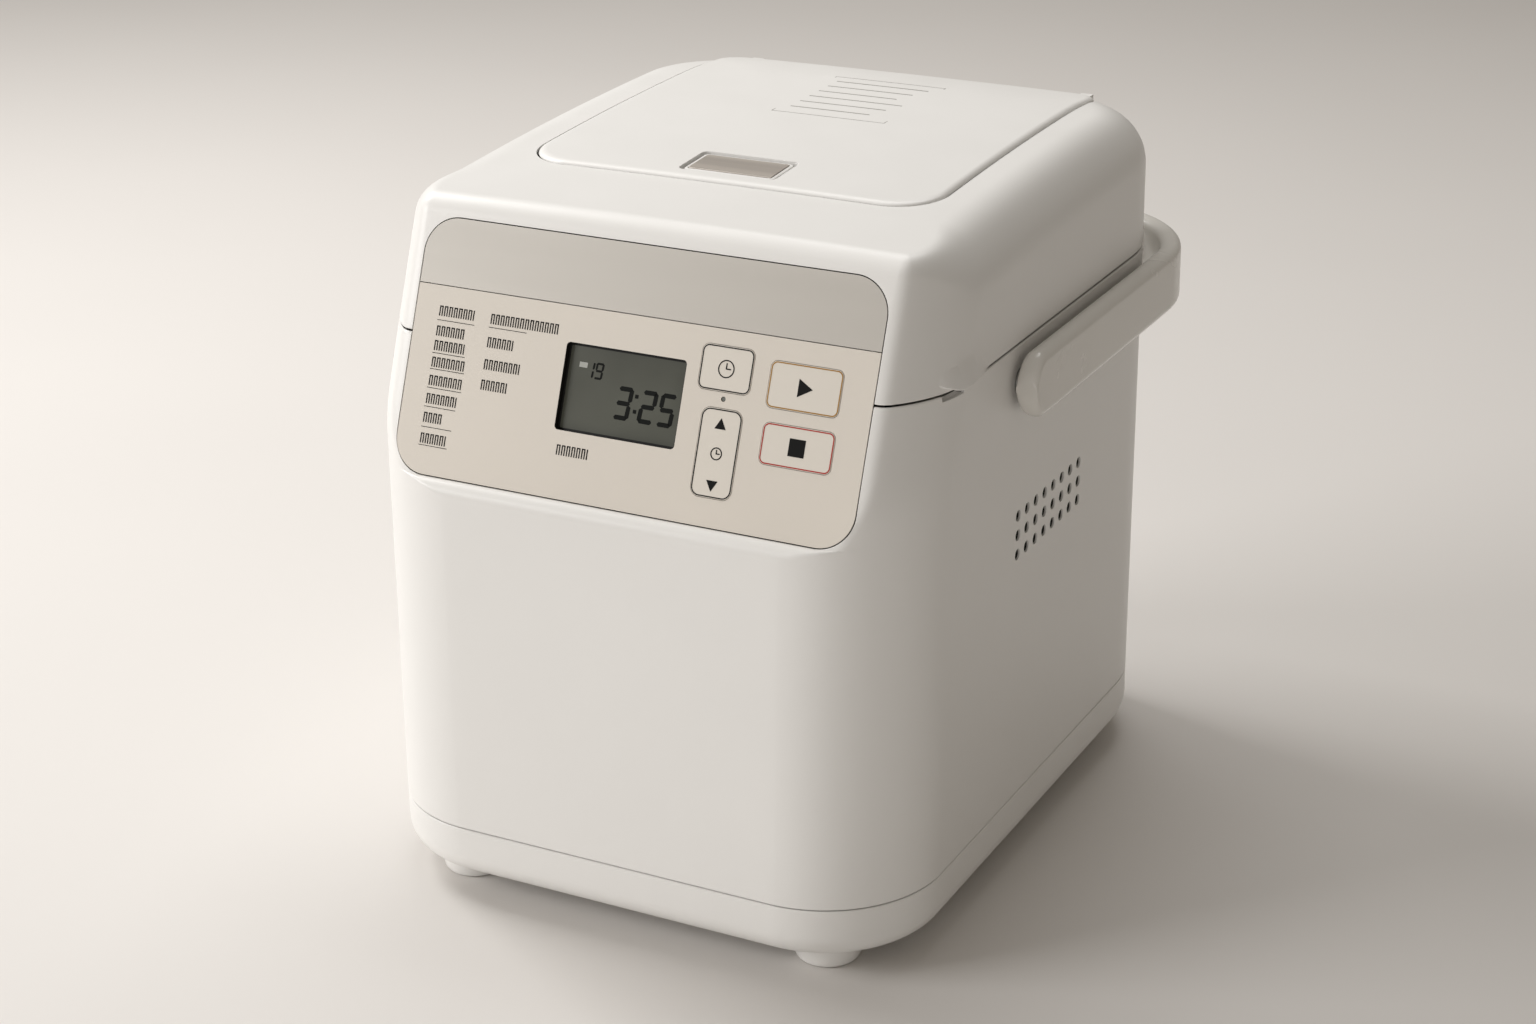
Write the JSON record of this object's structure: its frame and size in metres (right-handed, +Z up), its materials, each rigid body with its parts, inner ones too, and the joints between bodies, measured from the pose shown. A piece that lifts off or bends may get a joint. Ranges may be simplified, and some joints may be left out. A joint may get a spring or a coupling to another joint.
{
  "type": "bread machine",
  "caption": "Compact upright bread machine with a leaning control panel, hinged lid with a dispenser under a latched cover, fold-back carry handle, and pan, blade and belt drive inside.",
  "frame": {"origin": "on the surface it stands on, under the middle of the whole machine with its handle folded back", "axes": "+X to the user's right facing the control panel, +Y from the front to the back, +Z up"},
  "size_m": [0.24, 0.286, 0.2626],
  "materials": {
    "white_plastic": "warm white ABS with a satin moulded finish",
    "panel_film": "satin beige printed overlay",
    "silver_film": "satin silver printed overlay",
    "handle_plastic": "light grey moulded plastic",
    "latch_plate": "brushed champagne plate",
    "display": "tinted clear window",
    "display_glass": "grey green display",
    "circuit_board": "coated glass-fibre board",
    "steel": "plain sheet and bar",
    "aluminium": "plain",
    "non_stick": "dark non-stick coating on aluminium",
    "rubber": "black",
    "silicone": "translucent grey silicone"
  },
  "bodies": {
    "casing": {"base_tray": "white_plastic", "housing": "white_plastic", "top_deck": "white_plastic", "panel_back_cover": "white_plastic", "foot_front_left": "white_plastic", "foot_front_right": "white_plastic", "foot_rear_left": "white_plastic", "foot_rear_right": "white_plastic", "panel_plate": "panel_film", "panel_strip": "silver_film", "power_inlet": "handle_plastic", "display_lens": "display", "display_module": "display_glass", "panel_lamp": "display_glass", "control_board": "circuit_board", "power_board": "circuit_board", "oven_chamber": "steel", "heater_element": "steel", "temperature_sensor": "steel", "chassis_plate": "steel", "motor": "steel", "handle_pivot_left": "steel", "handle_pivot_right": "steel", "hinge_pin_left": "steel", "hinge_pin_right": "steel", "chassis_screw_1": "steel", "chassis_screw_2": "steel", "chassis_screw_3": "steel", "chassis_screw_4": "steel", "pan_bearing": "aluminium", "pan_mount_ring": "aluminium", "shaft_bearing": "aluminium", "bread_pan": "non_stick", "drive_belt": "rubber", "keypad_mat": "silicone"},
    "lid": {"lid_outer": "white_plastic", "lid_inner": "white_plastic", "lid_liner": "aluminium", "lid_seal": "silicone", "dispenser_tray": "white_plastic", "cover_hinge_rod": "steel"},
    "cover": {"top_cover": "white_plastic", "latch_spring": "steel"},
    "latch": {"latch_button": "white_plastic", "latch_face": "latch_plate"},
    "flap": {"dispenser_flap": "aluminium"},
    "handle": {"carry_handle": "handle_plastic"},
    "timer_key": {"timer_button": "panel_film"},
    "rocker_key": {"timer_rocker": "panel_film"},
    "start_key": {"start_button": "panel_film"},
    "cancel_key": {"cancel_button": "panel_film"},
    "spindle": {"drive_shaft": "steel", "drive_pulley": "handle_plastic", "drive_dog": "steel"},
    "blade": {"pan_shaft": "steel", "pan_dog": "steel", "kneading_blade": "non_stick"},
    "rotor": {"motor_shaft": "steel", "motor_pulley": "handle_plastic"},
    "bail": {"pan_bail": "steel"}
  },
  "joints": [
    {"name": "lid_hinge", "type": "hinge", "parent": "casing", "child": "lid", "pos_m": [0, 0.1275, 0.209], "axis": [-1, 0, 0], "range_deg": [0, 85]},
    {"name": "cover_hinge", "type": "hinge", "parent": "lid", "child": "cover", "pos_m": [0, 0.1102, 0.2566], "axis": [-1, 0, 0], "range_deg": [0, 75]},
    {"name": "latch_press", "type": "slide", "parent": "cover", "child": "latch", "axis": [0, 0, -1], "range_m": [0, 0.002], "stiffness_N_per_m": 300, "springref_m": -0.002, "deforming": ["latch_spring"]},
    {"name": "flap_hinge", "type": "hinge", "parent": "lid", "child": "flap", "pos_m": [0, -0.017, 0.2106], "axis": [-1, 0, 0], "range_deg": [0, 75]},
    {"name": "handle_swing", "type": "hinge", "parent": "casing", "child": "handle", "pos_m": [0, -0.037, 0.195], "axis": [1, 0, 0], "range_deg": [0, 90]},
    {"name": "timer_press", "type": "slide", "parent": "casing", "child": "timer_key", "axis": [0, 0.9291, -0.3698], "range_m": [0, 0.0008], "stiffness_N_per_m": 1500, "springref_m": -0.0003},
    {"name": "start_press", "type": "slide", "parent": "casing", "child": "start_key", "axis": [0, 0.9291, -0.3698], "range_m": [0, 0.0008], "stiffness_N_per_m": 1500, "springref_m": -0.0003},
    {"name": "cancel_press", "type": "slide", "parent": "casing", "child": "cancel_key", "axis": [0, 0.9291, -0.3698], "range_m": [0, 0.0008], "stiffness_N_per_m": 1500, "springref_m": -0.0003},
    {"name": "timer_rock", "type": "hinge", "parent": "casing", "child": "rocker_key", "pos_m": [0.0362, -0.12266, 0.18558], "axis": [1, 0, 0], "range_deg": [-2.5, 2.5], "stiffness_Nm_per_rad": 0.05},
    {"name": "spindle_spin", "type": "hinge", "parent": "casing", "child": "spindle", "pos_m": [0, 0.017, 0.026], "axis": [0, 0, 1], "continuous": true},
    {"name": "blade_spin", "type": "hinge", "parent": "casing", "child": "blade", "pos_m": [0, 0.017, 0.075], "axis": [0, 0, 1], "continuous": true},
    {"name": "rotor_spin", "type": "hinge", "parent": "casing", "child": "rotor", "pos_m": [-0.064, -0.106, 0.026], "axis": [0, 0, 1], "continuous": true},
    {"name": "bail_swing", "type": "hinge", "parent": "casing", "child": "bail", "pos_m": [0, 0.017, 0.1895], "axis": [1, 0, 0], "range_deg": [0, 11]}
  ],
  "couplings": [
    {"joint": "blade_spin", "follows": "spindle_spin", "ratio": 1},
    {"joint": "rotor_spin", "follows": "spindle_spin", "ratio": 5}
  ]
}
